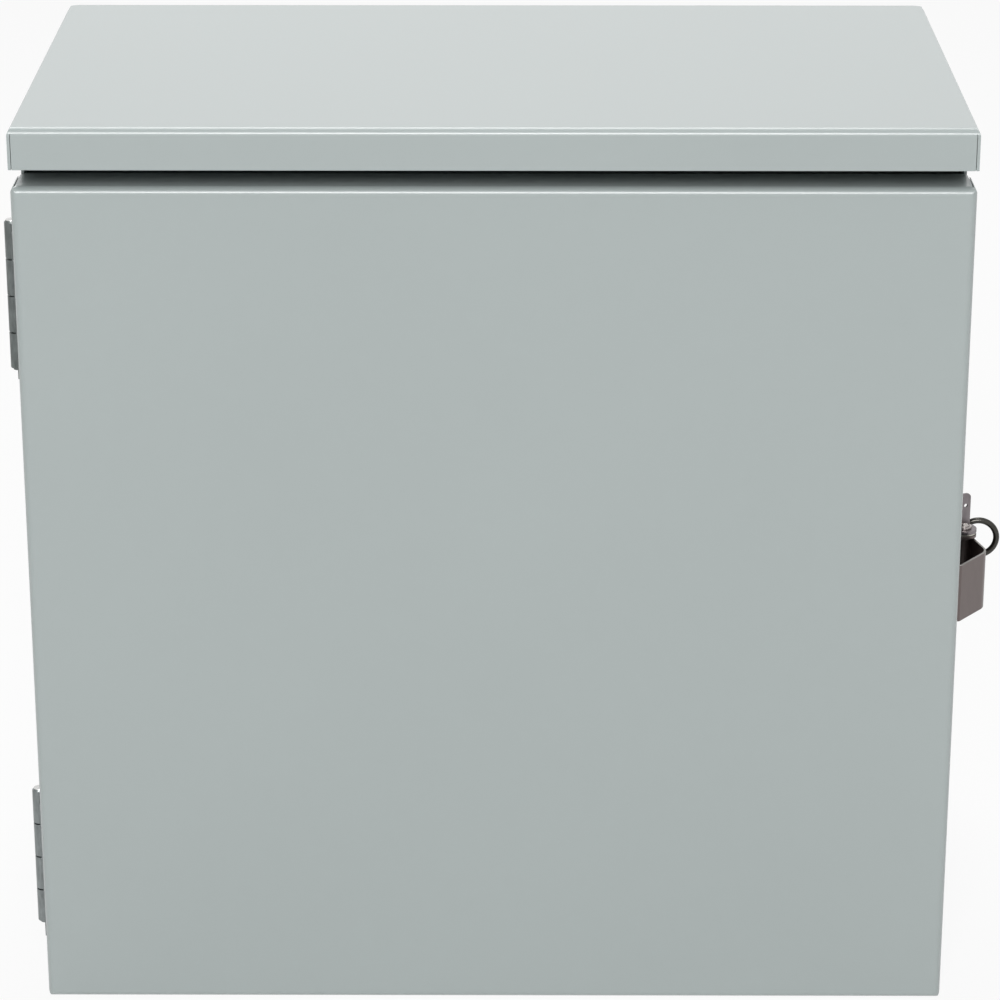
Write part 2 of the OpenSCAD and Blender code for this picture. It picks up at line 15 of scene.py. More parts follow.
import bmesh
import bpy
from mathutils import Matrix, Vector

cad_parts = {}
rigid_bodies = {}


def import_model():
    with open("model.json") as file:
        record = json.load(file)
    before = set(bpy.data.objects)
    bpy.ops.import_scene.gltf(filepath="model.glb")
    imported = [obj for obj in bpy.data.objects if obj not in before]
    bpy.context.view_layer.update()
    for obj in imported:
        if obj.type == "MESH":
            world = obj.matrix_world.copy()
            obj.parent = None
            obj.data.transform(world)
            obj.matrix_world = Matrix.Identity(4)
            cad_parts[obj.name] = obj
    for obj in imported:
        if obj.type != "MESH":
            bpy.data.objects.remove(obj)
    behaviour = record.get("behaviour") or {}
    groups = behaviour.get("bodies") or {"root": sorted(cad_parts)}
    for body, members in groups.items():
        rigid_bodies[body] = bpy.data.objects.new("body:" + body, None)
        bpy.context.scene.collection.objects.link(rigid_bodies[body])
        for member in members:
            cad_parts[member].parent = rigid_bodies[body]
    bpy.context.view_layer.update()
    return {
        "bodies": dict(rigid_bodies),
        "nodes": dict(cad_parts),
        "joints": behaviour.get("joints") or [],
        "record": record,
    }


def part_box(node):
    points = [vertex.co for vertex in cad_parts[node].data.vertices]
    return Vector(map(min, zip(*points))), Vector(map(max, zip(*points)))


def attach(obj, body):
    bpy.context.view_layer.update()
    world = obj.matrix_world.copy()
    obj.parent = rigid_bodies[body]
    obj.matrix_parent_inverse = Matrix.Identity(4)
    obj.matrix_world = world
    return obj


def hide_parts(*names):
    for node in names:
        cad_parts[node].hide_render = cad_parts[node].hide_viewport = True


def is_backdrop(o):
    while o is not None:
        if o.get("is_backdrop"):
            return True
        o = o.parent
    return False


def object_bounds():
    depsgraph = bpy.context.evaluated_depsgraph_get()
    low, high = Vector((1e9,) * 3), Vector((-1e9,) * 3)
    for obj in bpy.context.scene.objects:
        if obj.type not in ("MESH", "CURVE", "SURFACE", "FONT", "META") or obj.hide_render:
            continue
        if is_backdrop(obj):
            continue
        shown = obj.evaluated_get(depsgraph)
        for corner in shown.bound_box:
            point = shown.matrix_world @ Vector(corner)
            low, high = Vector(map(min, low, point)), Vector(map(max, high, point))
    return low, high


LOG = logging.getLogger("enclosure")
MM = 0.001
MERGE_DISTANCE = 1e-6
FLAT_ANGLE = math.radians(0.5)
CRISP_ANGLE = math.radians(35)
TURN_STEPS = 24
FOLD_SLACK = 0.02 * MM
FOLD_LIMIT = math.cos(math.radians(20))
NOISE_ROUGHNESS = 0.55

# Sockets of a Mix node that blends colours.
MIX_FACTOR = 0
MIX_LOW = 6
MIX_HIGH = 7
MIX_RESULT = 2

Colour = tuple[float, float, float]
Place = tuple[float, float, float]
Profile = tuple[tuple[float, float], ...]

# Colour painted on the hinges' top ends: raw cut steel with a painted highlight.
END_HIGHLIGHT_COLOUR: Colour = (0.6, 0.6, 0.59)
WHITE = (1.0, 1.0, 1.0, 1.0)


class Axis(Enum):
    """A direction of the part's frame."""

    X = (1.0, 0.0, 0.0)
    Y = (0.0, 1.0, 0.0)
    Z = (0.0, 0.0, 1.0)


class Body(Enum):
    """The rigid bodies that pieces ride on."""

    BOX = "box"
    DOOR = "door"
    LATCH = "latch"


class Slot(Enum):
    """The record's material slots."""

    PAINT = "grey_paint"
    HINGE = "hinge_steel"
    STRAP = "latch_steel"
    RING = "ring_steel"
    ZINC = "zinc_plate"


class Wire:
    """A shader output that takes part in Python arithmetic."""

    def __init__(self, graph: "Graph", socket: bpy.types.NodeSocket) -> None:
        """Keeps the socket and the graph that it belongs to."""
        self.graph = graph
        self.socket = socket

    def __add__(self, other: "Term") -> "Wire":
        """Adds a number or another wire."""
        return self.graph.maths("ADD", self, other)

    def __radd__(self, other: "Term") -> "Wire":
        """Adds this wire to a number."""
        return self.graph.maths("ADD", other, self)

    def __sub__(self, other: "Term") -> "Wire":
        """Subtracts a number or another wire."""
        return self.graph.maths("SUBTRACT", self, other)

    def __rsub__(self, other: "Term") -> "Wire":
        """Subtracts this wire from a number."""
        return self.graph.maths("SUBTRACT", other, self)

    def __mul__(self, other: "Term") -> "Wire":
        """Multiplies by a number or another wire."""
        return self.graph.maths("MULTIPLY", self, other)

    def __rmul__(self, other: "Term") -> "Wire":
        """Multiplies a number by this wire."""
        return self.graph.maths("MULTIPLY", other, self)


Term = Wire | float
SocketValue = Wire | float | tuple[float, ...]
Shade = Wire | Colour


class Graph:
    """Builds the node tree of one material or of the world."""

    def __init__(self, tree: bpy.types.NodeTree) -> None:
        """Starts from an empty tree.

        Args:
            tree: The tree to fill.
        """
        self.tree = tree
        tree.nodes.clear()

    def node(
        self,
        kind: str,
        settings: dict[str, object] | None = None,
        sockets: dict[str | int, SocketValue] | None = None,
    ) -> bpy.types.Node:
        """Adds one node.

        Args:
            kind: The node's type.
            settings: Properties that are set before the sockets.
            sockets: Values or wires for the inputs, by name or number.

        Returns:
            The new node.
        """
        made = self.tree.nodes.new(kind)
        for name, value in (settings or {}).items():
            setattr(made, name, value)
        for key, value in (sockets or {}).items():
            if isinstance(value, Wire):
                self.tree.links.new(value.socket, made.inputs[key])
            else:
                made.inputs[key].default_value = value
        return made

    def out(self, node: bpy.types.Node, name: str | int) -> Wire:
        """Wraps one of a node's outputs."""
        return Wire(self, node.outputs[name])

    def maths(self, operation: str, left: Term, right: Term) -> Wire:
        """Adds a Math node for one operator.

        Args:
            operation: The node's operation.
            left: The first operand.
            right: The second operand.

        Returns:
            The result.
        """
        made = self.node("ShaderNodeMath", {"operation": operation}, {0: left, 1: right})
        return self.out(made, 0)

    def place(self, stretch: Place = (1.0, 1.0, 1.0)) -> Wire:
        """Gives the piece's own coordinates, in metres.

        Args:
            stretch: Factors along X, Y and Z.

        Returns:
            The coordinates as a vector.
        """
        coords = self.out(self.node("ShaderNodeTexCoord"), "Object")
        mapping = self.node("ShaderNodeMapping", None, {"Vector": coords, "Scale": stretch})
        return self.out(mapping, 0)

    def noise(self, vector: Wire, scale: float, detail: float = 2.0) -> Wire:
        """Adds fractal noise.

        Args:
            vector: Where to read it.
            scale: Features per metre.
            detail: Octaves.

        Returns:
            A value around one half.
        """
        made = self.node(
            "ShaderNodeTexNoise",
            None,
            {"Vector": vector, "Scale": scale, "Detail": detail, "Roughness": NOISE_ROUGHNESS},
        )
        return self.out(made, "Fac")

    def mix(self, factor: Term, low: Shade, high: Shade) -> Wire:
        """Blends two colours.

        Args:
            factor: 0 gives low and 1 gives high.
            low: Linear colour or wire.
            high: Linear colour or wire.

        Returns:
            The blended colour.
        """
        ends = [shade if isinstance(shade, Wire) else (*shade, 1.0) for shade in (low, high)]
        made = self.node(
            "ShaderNodeMix",
            {"data_type": "RGBA", "clamp_factor": True},
            {MIX_FACTOR: factor, MIX_LOW: ends[0], MIX_HIGH: ends[1]},
        )
        return self.out(made, MIX_RESULT)

    def bump(self, height: Wire, depth: float, strength: float) -> Wire:
        """Turns a height into a normal.

        Args:
            height: The height, about 0 to 1.
            depth: What a height of 1 stands for, in metres.
            strength: Share of the effect that is kept.

        Returns:
            The bent normal.
        """
        made = self.node(
            "ShaderNodeBump",
            None,
            {"Height": height, "Distance": depth, "Strength": strength},
        )
        return self.out(made, 0)

    def principled(self, sockets: dict[str | int, SocketValue]) -> None:
        """Ends the tree in a Principled shader.

        Args:
            sockets: Its inputs.
        """
        shader = self.node("ShaderNodeBsdfPrincipled", None, sockets)
        self.node("ShaderNodeOutputMaterial", None, {0: self.out(shader, 0)})


def srgb(red: int, green: int, blue: int) -> Colour:
    """Turns an 8-bit display colour into a linear one.

    Args:
        red: Red, 0 to 255.
        green: Green, 0 to 255.
        blue: Blue, 0 to 255.

    Returns:
        The linear colour.
    """

    def channel(value: int) -> float:
        """Converts one channel."""
        share = value / 255
        return share / 12.92 if share <= 0.04045 else ((share + 0.055) / 1.055) ** 2.4

    return channel(red), channel(green), channel(blue)


def scaled(colour: Colour, factor: float) -> Colour:
    """Brightens or darkens a colour by a factor."""
    return tuple(min(1.0, channel * factor) for channel in colour)


def empty_material(name: str) -> tuple[bpy.types.Material, Graph]:
    """Makes a material with an empty node tree.

    Args:
        name: The material's name.

    Returns:
        The material and its graph.
    """
    material = bpy.data.materials.new(name)
    material.use_nodes = True
    return material, Graph(material.node_tree)


@dataclass(frozen=True)
class PowderCoat:
    """Baked powder paint: a soft orange-peel skin with faint mottling.

    Attributes:
        name: The material's name.
        colour: Linear colour.
        roughness: Mean roughness under the gloss.
        gloss: Weight of the smooth skin on top.
        gloss_roughness: The skin's roughness.
        peel: Width of the orange peel.
        peel_depth: Its height.
        peel_strength: Share of the peel that shows.
        specks: How many specks lie across one peel.
        speck_peel: The specks' share in the peel.
        speck_shade: The specks' share in the mottling.
        clouds: Clouds of shade per metre.
        mottle: Share by which the shade wanders.
        drift: Range over which the roughness wanders.
    """

    name: str
    colour: Colour
    roughness: float = 0.46
    gloss: float = 0.8
    gloss_roughness: float = 0.2
    peel: float = 1.6 * MM
    peel_depth: float = 0.006 * MM
    peel_strength: float = 0.6
    specks: float = 4.0
    speck_peel: float = 0.15
    speck_shade: float = 0.2
    clouds: float = 5.0
    mottle: float = 0.025
    drift: float = 0.08

    def build(self) -> bpy.types.Material:
        """Makes the material."""
        material, graph = empty_material(self.name)
        place = graph.place()
        peel = graph.noise(place, 1 / self.peel, detail=1.5)
        speck = graph.noise(place, self.specks / self.peel, detail=1.0)
        cloud = graph.noise(place, self.clouds, detail=3.0)
        skin = peel * (1 - self.speck_peel) + speck * self.speck_peel
        shade = graph.mix(
            cloud * (1 - self.speck_shade) + speck * self.speck_shade,
            scaled(self.colour, 1 - self.mottle),
            scaled(self.colour, 1 + self.mottle),
        )
        graph.principled(
            {
                "Base Color": shade,
                "Roughness": cloud * self.drift + (self.roughness - self.drift / 2),
                "Coat Weight": self.gloss,
                "Coat Roughness": self.gloss_roughness,
                "Normal": graph.bump(skin, self.peel_depth, self.peel_strength),
            }
        )
        return material


@dataclass(frozen=True)
class WorkedSteel:
    """Bare or plated steel with a directional grain and faint stains.

    Attributes:
        name: The material's name.
        colour: Linear colour.
        roughness: Mean roughness.
        grain: Direction along which the grain runs.
        grain_width: Distance between its lines.
        grain_depth: Depth of its lines.
        grain_strength: Share of that depth that shows.
        grain_squeeze: Squeeze of the pattern along its lines.
        stain: Share by which the shade wanders.
        stains: Stains per metre across the grain.
        stain_squeeze: Squeeze of the stains along the grain.
        stain_contrast: The stains' weight in the shade.
        line_contrast: The lines' weight in the shade.
        stain_drift: Range of roughness from the stains.
        line_drift: Range of roughness from the lines.
        painted_highlight_above: Height above which the top end is painted lighter, as raw cut
            steel with a painted highlight, if it has one.
        painted_highlight_colour: Linear colour of that end.
    """

    name: str
    colour: Colour
    roughness: float = 0.36
    grain: Axis = Axis.Z
    grain_width: float = 0.5 * MM
    grain_depth: float = 0.01 * MM
    grain_strength: float = 0.5
    grain_squeeze: float = 0.06
    stain: float = 0.16
    stains: float = 300.0
    stain_squeeze: float = 0.3
    stain_contrast: float = 1.6
    line_contrast: float = 0.4
    stain_drift: float = 0.12
    line_drift: float = 0.16
    painted_highlight_above: float | None = None
    painted_highlight_colour: Colour = END_HIGHLIGHT_COLOUR

    def build(self) -> bpy.types.Material:
        """Makes the material."""
        material, graph = empty_material(self.name)
        lines = graph.noise(self._along(graph, self.grain_squeeze), 1 / self.grain_width)
        cloud = graph.noise(self._along(graph, self.stain_squeeze), self.stains, detail=3.0)
        centre = (self.stain_contrast + self.line_contrast - 1) / 2
        shade = graph.mix(
            cloud * self.stain_contrast + lines * self.line_contrast - centre,
            scaled(self.colour, 1 - self.stain),
            scaled(self.colour, 1 + self.stain),
        )
        # Painted highlight: the top end is painted lighter, as raw cut steel catching the light.
        if self.painted_highlight_above is not None:
            height = graph.out(graph.node("ShaderNodeSeparateXYZ", None, {0: graph.place()}), "Z")
            end = graph.maths("GREATER_THAN", height, self.painted_highlight_above)
            shade = graph.mix(end, shade, self.painted_highlight_colour)
        drift = (self.line_drift + self.stain_drift) / 2
        graph.principled(
            {
                "Base Color": shade,
                "Metallic": 1.0,
                "Roughness": lines * self.line_drift
                + cloud * self.stain_drift
                + (self.roughness - drift),
                "Normal": graph.bump(lines, self.grain_depth, self.grain_strength),
            }
        )
        return material

    def _along(self, graph: Graph, squeeze: float) -> Wire:
        """Gives coordinates that are squeezed along the grain, which draws a pattern out."""
        return graph.place(tuple(squeeze if share else 1.0 for share in self.grain.value))


@dataclass(frozen=True)
class ZincPlate:
    """Bright zinc plating with a fine crystalline spangle.

    Attributes:
        name: The material's name.
        colour: Linear colour.
        roughness: Mean roughness.
        drift: Range over which the roughness wanders.
        clouds: Clouds of roughness per metre.
        spangle: Size of a crystal.
        spangle_depth: Height of its edges.
        spangle_strength: Share of that height that shows.
        bright: Shade at a crystal's middle, as a factor.
        dull: Shade at its edge.
    """

    name: str
    colour: Colour
    roughness: float = 0.34
    drift: float = 0.2
    clouds: float = 220.0
    spangle: float = 0.9 * MM
    spangle_depth: float = 0.008 * MM
    spangle_strength: float = 0.4
    bright: float = 1.08
    dull: float = 0.86

    def build(self) -> bpy.types.Material:
        """Makes the material."""
        material, graph = empty_material(self.name)
        place = graph.place()
        crystals = graph.node(
            "ShaderNodeTexVoronoi", None, {"Vector": place, "Scale": 1 / self.spangle}
        )
        facet = graph.out(crystals, "Distance")
        cloud = graph.noise(place, self.clouds)
        shade = graph.mix(facet, scaled(self.colour, self.bright), scaled(self.colour, self.dull))
        graph.principled(
            {
                "Base Color": shade,
                "Metallic": 1.0,
                "Roughness": cloud * self.drift + (self.roughness - self.drift / 2),
                "Normal": graph.bump(facet, self.spangle_depth, self.spangle_strength),
            }
        )
        return material


STRAP_STEEL = WorkedSteel("latch_steel", srgb(112, 103, 101), roughness=0.34, stain=0.08)


@dataclass
class Finishes:
    """The finishes of this part, made once and shared by its pieces."""

    paint: bpy.types.Material = field(init=False)
    recess_shade_paint: bpy.types.Material = field(init=False)
    strap: bpy.types.Material = field(init=False)
    pin: bpy.types.Material = field(init=False)
    wire: bpy.types.Material = field(init=False)
    zinc: bpy.types.Material = field(init=False)

    def __post_init__(self) -> None:
        """Builds every material."""
        self.paint = PowderCoat("grey_powder_coat", srgb(170, 179, 178)).build()
        # Painted shade: the head channel under the drip shield gets a darker, duller coat that
        # stands in for the shade there.
        self.recess_shade_paint = PowderCoat(
            "painted_shade_coat", srgb(78, 83, 83), roughness=0.6, gloss=0.1
        ).build()
        self.strap = STRAP_STEEL.build()
        self.pin = WorkedSteel(
            "pin_steel", srgb(178, 172, 169), roughness=0.26, stain=0.05
        ).build()
        self.wire = WorkedSteel(
            "ring_steel", srgb(68, 67, 64), roughness=0.24, grain=Axis.Y
        ).build()
        self.zinc = ZincPlate("zinc_plate", srgb(188, 186, 176)).build()


def dress(frame: dict, nodes: list[str], material: bpy.types.Material) -> None:
    """Gives CAD nodes a material.

    Args:
        nodes: The nodes' names.
        material: Their finish.
    """
    for name in nodes:
        mesh = frame["nodes"][name].data
        mesh.materials.clear()
        mesh.materials.append(material)
        LOG.info("%s wears %s", name, material.name)


def add_piece(
    name: str, shape: bmesh.types.BMesh, material: bpy.types.Material, body: Body
) -> bpy.types.Object:
    """Turns a bmesh into a piece that rides on a body.

    Args:
        name: The piece's name.
        shape: Its mesh, in the part's frame; it is freed here.
        material: Its finish.
        body: The body that carries it.

    Returns:
        The new object.
    """
    mesh = bpy.data.meshes.new(name)
    bmesh.ops.recalc_face_normals(shape, faces=shape.faces)
    shape.to_mesh(mesh)
    shape.free()
    mesh.materials.append(material)
    for polygon in mesh.polygons:
        polygon.use_smooth = True
        polygon.material_index = 0
    mesh.set_sharp_from_angle(angle=CRISP_ANGLE)
    piece = bpy.data.objects.new(name, mesh)
    bpy.context.scene.collection.objects.link(piece)
    even = piece.modifiers.new("even_shading", "WEIGHTED_NORMAL")
    even.keep_sharp = True
    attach(piece, body.value)
    LOG.info("%s has %d faces", name, len(mesh.polygons))
    return piece


@dataclass(frozen=True)
class Fold:
    """The outside of a folded edge of a sheet: a quarter of a cylinder.

    Attributes:
        sides: The two sides that it joins, as -1 or 1 on their axes and 0 along the fold.
        radius: Its outside radius.
    """

    sides: tuple[int, int, int]
    radius: float = 5.0 * MM

    def normal(self, point: Vector, low: Vector, high: Vector) -> Vector | None:
        """Finds the cylinder's own normal at a point.

        Args:
            point: A point of the sheet.
            low: The sheet's low corner.
            high: Its high corner.

        Returns:
            The normal, or None where the point lies off the fold.
        """
        out = Vector()
        for index, side in enumerate(self.sides):
            if side:
                face = high[index] if side > 0 else low[index]
                out[index] = point[index] - face + side * self.radius
        inward = min(side * share for side, share in zip(self.sides, out))
        if abs(out.length - self.radius) > FOLD_SLACK or inward < -FOLD_SLACK:
            return None
        return out.normalized()


@dataclass(frozen=True)
class EasedNode:
    """A CAD node that is shown with its sharp edges rounded over.

    Attributes:
        node: The node's name.
        body: The body that carries it.
        slot: The record's material slot; not used.
        width: Width of the rounding.
        folds: The sheet's folded edges, where it has any.
    """

    node: str
    body: Body
    slot: Slot
    width: float
    folds: tuple[Fold, ...] = ()

    def build(self, frame: dict, material: bpy.types.Material) -> None:
        """Shows the rounded copy in the node's place.

        Args:
            material: The copy's finish.
        """
        shape = bmesh.new()
        shape.from_mesh(frame["nodes"][self.node].data)
        bmesh.ops.remove_doubles(shape, verts=shape.verts, dist=MERGE_DISTANCE)
        bmesh.ops.dissolve_limit(
            shape, angle_limit=FLAT_ANGLE, verts=shape.verts, edges=shape.edges
        )
        low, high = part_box(self.node)
        crisp = [
            edge
            for edge in shape.edges
            if len(edge.link_faces) == 2
            and edge.calc_face_angle() > CRISP_ANGLE
            and not any(
                fold.normal(vert.co, low, high) for fold in self.folds for vert in edge.verts
            )
        ]
        bmesh.ops.bevel(
            shape,
            geom=crisp,
            offset=self.width,
            offset_type="OFFSET",
            affect="EDGES",
            segments=2,
            profile=0.5,
            material=-1,
            clamp_overlap=True,
        )
        piece = add_piece(f"{self.node}_eased", shape, material, self.body)
        if self.folds:
            self._true_folds(piece)
        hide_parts(self.node)

    def _true_folds(self, piece: bpy.types.Object) -> None:
        """Gives the folds their exact normals, so that highlights run straight along them.

        Args:
            piece: The rounded copy.
        """
        low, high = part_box(self.node)
        shown = piece.evaluated_get(bpy.context.evaluated_depsgraph_get()).data
        normals = [corner.vector.copy() for corner in shown.corner_normals]
        mesh = piece.data
        for face in mesh.polygons:
            for index in face.loop_indices:
                point = mesh.vertices[mesh.loops[index].vertex_index].co
                exact = [fold.normal(point, low, high) for fold in self.folds]
                near = [item for item in exact if item and item.dot(face.normal) > FOLD_LIMIT]
                if near:
                    normals[index] = max(near, key=face.normal.dot)
        piece.modifiers.clear()
        mesh.normals_split_custom_set(normals)


def turn(shape: bmesh.types.BMesh, profile: Profile, base: Vector, axis: Vector) -> None:
    """Turns a profile about an axis, as on a lathe.

    Args:
        shape: The mesh that gets the turned form.
        profile: Radii and distances along the axis, from foot to tip.
        base: The axis' start.
        axis: The axis' direction, one unit long.
    """
    radial = axis.orthogonal().normalized()
    points = [
        shape.verts.new(base + radial * radius + axis * along) for radius, along in profile
    ]
    edges = [shape.edges.new(pair) for pair in zip(points, points[1:])]
    bmesh.ops.spin(
        shape,
        geom=points + edges,
        cent=base,
        axis=axis,
        angle=math.tau,
        steps=TURN_STEPS,
        use_merge=True,
    )
    bmesh.ops.remove_doubles(shape, verts=shape.verts, dist=MERGE_DISTANCE)


@dataclass(frozen=True)
class Thread:
    """A screw thread: a ridge that winds around a core.

    Attributes:
        root: Radius of the core.
        crest: Radius of the ridge.
        pitch: Rise of one turn.
        turns: Number of turns.
        crest_at: Where the crest lies, as a share of the pitch.
        ridge_width: Width of the ridge's foot, as a share of the pitch.
    """

    root: float
    crest: float
    pitch: float
    turns: int
    crest_at: float = 0.42
    ridge_width: float = 0.84

    def wind(self, shape: bmesh.types.BMesh, base: Vector, axis: Vector) -> None:
        """Winds the ridge.

        Args:
            shape: The mesh that gets the ridge.
            base: Where the axis meets the first turn.
            axis: The axis' direction, one unit long.
        """
        radial = axis.orthogonal().normalized()
        section = (
            (self.root, 0.0),
            (self.crest, self.crest_at * self.pitch),
            (self.root, self.ridge_width * self.pitch),
        )
        points = [
            shape.verts.new(base + radial * radius + axis * along) for radius, along in section
        ]
        sides = [shape.edges.new((points[i - 1], points[i])) for i in range(len(points))]
        shape.faces.new(points)
        wound = bmesh.ops.spin(
            shape,
            geom=points + sides,
            cent=base,
            axis=axis,
            dvec=axis * (self.pitch / TURN_STEPS),
            angle=math.tau * self.turns,
            steps=TURN_STEPS * self.turns,
        )
        shape.faces.new(
            [item for item in wound["geom_last"] if isinstance(item, bmesh.types.BMVert)]
        )


@dataclass
class Shell:
    """The painted sheet metal: wrap, floor, head, drip shield and cover."""

    plain: tuple[str, ...] = ("body_wrap", "floor_pan", "floor_lip", "head_lip")
    # The head channel lies in the shade under the drip shield, and its darker coat is painted
    # shade.
    shaded_recess: tuple[str, ...] = ("head_channel",)
    shield: EasedNode = EasedNode(
        "drip_shield",
        Body.BOX,
        Slot.PAINT,
        0.35 * MM,
        (Fold((0, -1, 1)), Fold((-1, 0, 1)), Fold((1, 0, 1))),
    )
    cover: EasedNode = EasedNode(
        "cover",
        Body.DOOR,
        Slot.PAINT,
        0.35 * MM,
        (Fold((0, -1, 1)), Fold((0, -1, -1)), Fold((-1, -1, 0)), Fold((1, -1, 0))),
    )

    def dress(self, frame: dict, finishes: Finishes) -> None:
        """Paints the sheet metal and rounds the shield's and the cover's cut edges.

        Args:
            finishes: The part's finishes.
        """
        dress(frame, list(self.plain), finishes.paint)
        # The head channel wears the darker coat, as painted shade.
        dress(frame, list(self.shaded_recess), finishes.recess_shade_paint)
        for sheet in (self.shield, self.cover):
            sheet.build(frame, finishes.paint)


@dataclass
class Hinges:
    """Two butt hinges on the left edge, spot-welded to the box and the cover.

    The weld profile gives shares of a weld's radius and height, from its rim to its middle.
    """

    names: tuple[str, ...] = ("upper", "lower")
    shades: tuple[Colour, ...] = (srgb(107, 112, 111), srgb(130, 135, 135))
    stain: float = 0.4
    # Depth below each hinge's top that is painted lighter: raw cut steel with a painted
    # highlight.
    painted_highlight_depth: float = 0.35 * MM
    leaf_sheet: float = 1.6 * MM
    leaf_easing: float = 0.2 * MM
    weld_profile: Profile = ((1.0, 0.0), (0.8, 1.0), (0.5, 0.6), (0.0, 0.5))
    weld_radius: float = 3.0 * MM
    weld_height: float = 0.25 * MM
    weld_reach: float = 17.0 * MM
    welds: int = 4

    def dress(self, frame: dict, finishes: Finishes) -> None:
        """Gives every leaf and pin its steel and marks the spot welds.

        Args:
            finishes: The part's finishes.
        """
        for name, shade in zip(self.names, self.shades):
            # The hinge's top end is painted lighter, as raw cut steel with a painted highlight.
            _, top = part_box(f"{name}_hinge_pin")
            steel = WorkedSteel(
                f"{name}_hinge_steel", shade, stain=self.stain, painted_highlight_above=top.z - self.painted_highlight_depth
            ).build()
            dress(frame, [f"{name}_hinge_pin"], steel)
            for part, body in (("body_leaf", Body.BOX), ("cover_leaf", Body.DOOR)):
                node = f"{name}_hinge_{part}"
                EasedNode(node, body, Slot.HINGE, self.leaf_easing).build(frame, steel)
                self._weld_marks(name, part, body, steel)

    def _weld_marks(self, name: str, part: str, body: Body, steel: bpy.types.Material) -> None:
        """Adds a row of shallow spot-weld marks to one leaf.

        Args:
            name: Which hinge.
            part: Which leaf.
            body: The body that carries the leaf.
            steel: The leaf's finish.
        """
        low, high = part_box(f"{name}_hinge_{part}")
        pin_low, pin_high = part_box(f"{name}_hinge_pin")
        toward = 1.0 if body is Body.BOX else -1.0
        across = (pin_low.y + pin_high.y) / 2 + toward * self.weld_reach
        face = high.x - self.leaf_sheet
        outward = Vector((-1.0, 0.0, 0.0))
        profile = tuple(
            (radius * self.weld_radius, rise * self.weld_height)
            for radius, rise in self.weld_profile
        )
        shape = bmesh.new()
        for index in range(self.welds):
            height = low.z + (index + 0.5) * (high.z - low.z) / self.welds
            turn(shape, profile, Vector((face, across, height)), outward)
        add_piece(f"{name}_hinge_{part}_welds", shape, steel, body)


@dataclass
class Latch:
    """The lever latch on the right edge, with its ring and strike.

    The beads' angle is in degrees from the ring's left, and their sink a share of their radius.
    """

    bracket: EasedNode = EasedNode("latch_bracket", Body.BOX, Slot.STRAP, 0.3 * MM)
    lever: EasedNode = EasedNode("latch_lever", Body.LATCH, Slot.STRAP, 0.35 * MM)
    # Colour painted on the lever's top edge: raw cut steel with a painted highlight.
    lever_highlight: Colour = srgb(140, 138, 135)
    tab: EasedNode = EasedNode("thumb_tab", Body.LATCH, Slot.STRAP, 0.4 * MM)
    tab_shade: Colour = srgb(128, 122, 124)
    tab_stain: float = 0.22
    pin: EasedNode = EasedNode("latch_pin", Body.LATCH, Slot.STRAP, 0.3 * MM)
    plain: tuple[str, ...] = ("latch_rivets", "latch_clip")
    plated: tuple[str, ...] = ("latch_washer", "strike_plate", "strike_rivets")
    ring: str = "padlock_ring"
    bead_radius: float = 1.7 * MM
    bead_angle: float = 26.0
    bead_sink: float = 0.4
    bead_stretch: Place = (1.25, 0.5, 1.6)
    bead_sides: int = 20
    bead_rings: int = 12

    def dress(self, frame: dict, finishes: Finishes) -> None:
        """Gives the latch its metals and welds the ring to its bracket.

        Args:
            finishes: The part's finishes.
        """
        self.bracket.build(frame, finishes.strap)
        # The lever's top edge is painted lighter, as raw cut steel with a painted highlight.
        _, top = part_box(self.lever.node)
        cut = top.z - self.lever.width
        steel = replace(STRAP_STEEL, name="lever_steel", painted_highlight_above=cut, painted_highlight_colour=self.lever_highlight)
        self.lever.build(frame, steel.build())
        steel = replace(
            STRAP_STEEL, name="tab_steel", colour=self.tab_shade, stain=self.tab_stain
        )
        self.tab.build(frame, steel.build())
        self.pin.build(frame, finishes.pin)
        dress(frame, list(self.plain), finishes.strap)
        dress(frame, list(self.plated), finishes.zinc)
        dress(frame, [self.ring], finishes.wire)
        self._ring_beads(finishes)

    def _ring_beads(self, finishes: Finishes) -> None:
        """Adds two weld beads where the ring lies on the bracket's web.

        Args:
            finishes: The part's finishes.
        """
        low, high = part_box(self.ring)
        centre = (low + high) / 2
        mean_radius = (high.z - low.z - (high.y - low.y)) / 2
        shape = bmesh.new()
        for side in (-1, 1):
            angle = math.radians(180 + side * self.bead_angle)
            place = Vector(
                (
                    centre.x + mean_radius * math.cos(angle),
                    high.y - self.bead_sink * self.bead_radius,
                    centre.z + mean_radius * math.sin(angle),
                )
            )
            made = bmesh.ops.create_uvsphere(
                shape,
                u_segments=self.bead_sides,
                v_segments=self.bead_rings,
                radius=self.bead_radius,
            )
            bmesh.ops.scale(shape, vec=Vector(self.bead_stretch), verts=made["verts"])
            bmesh.ops.translate(shape, vec=place, verts=made["verts"])
        add_piece("ring_weld_beads", shape, finishes.wire, Body.BOX)


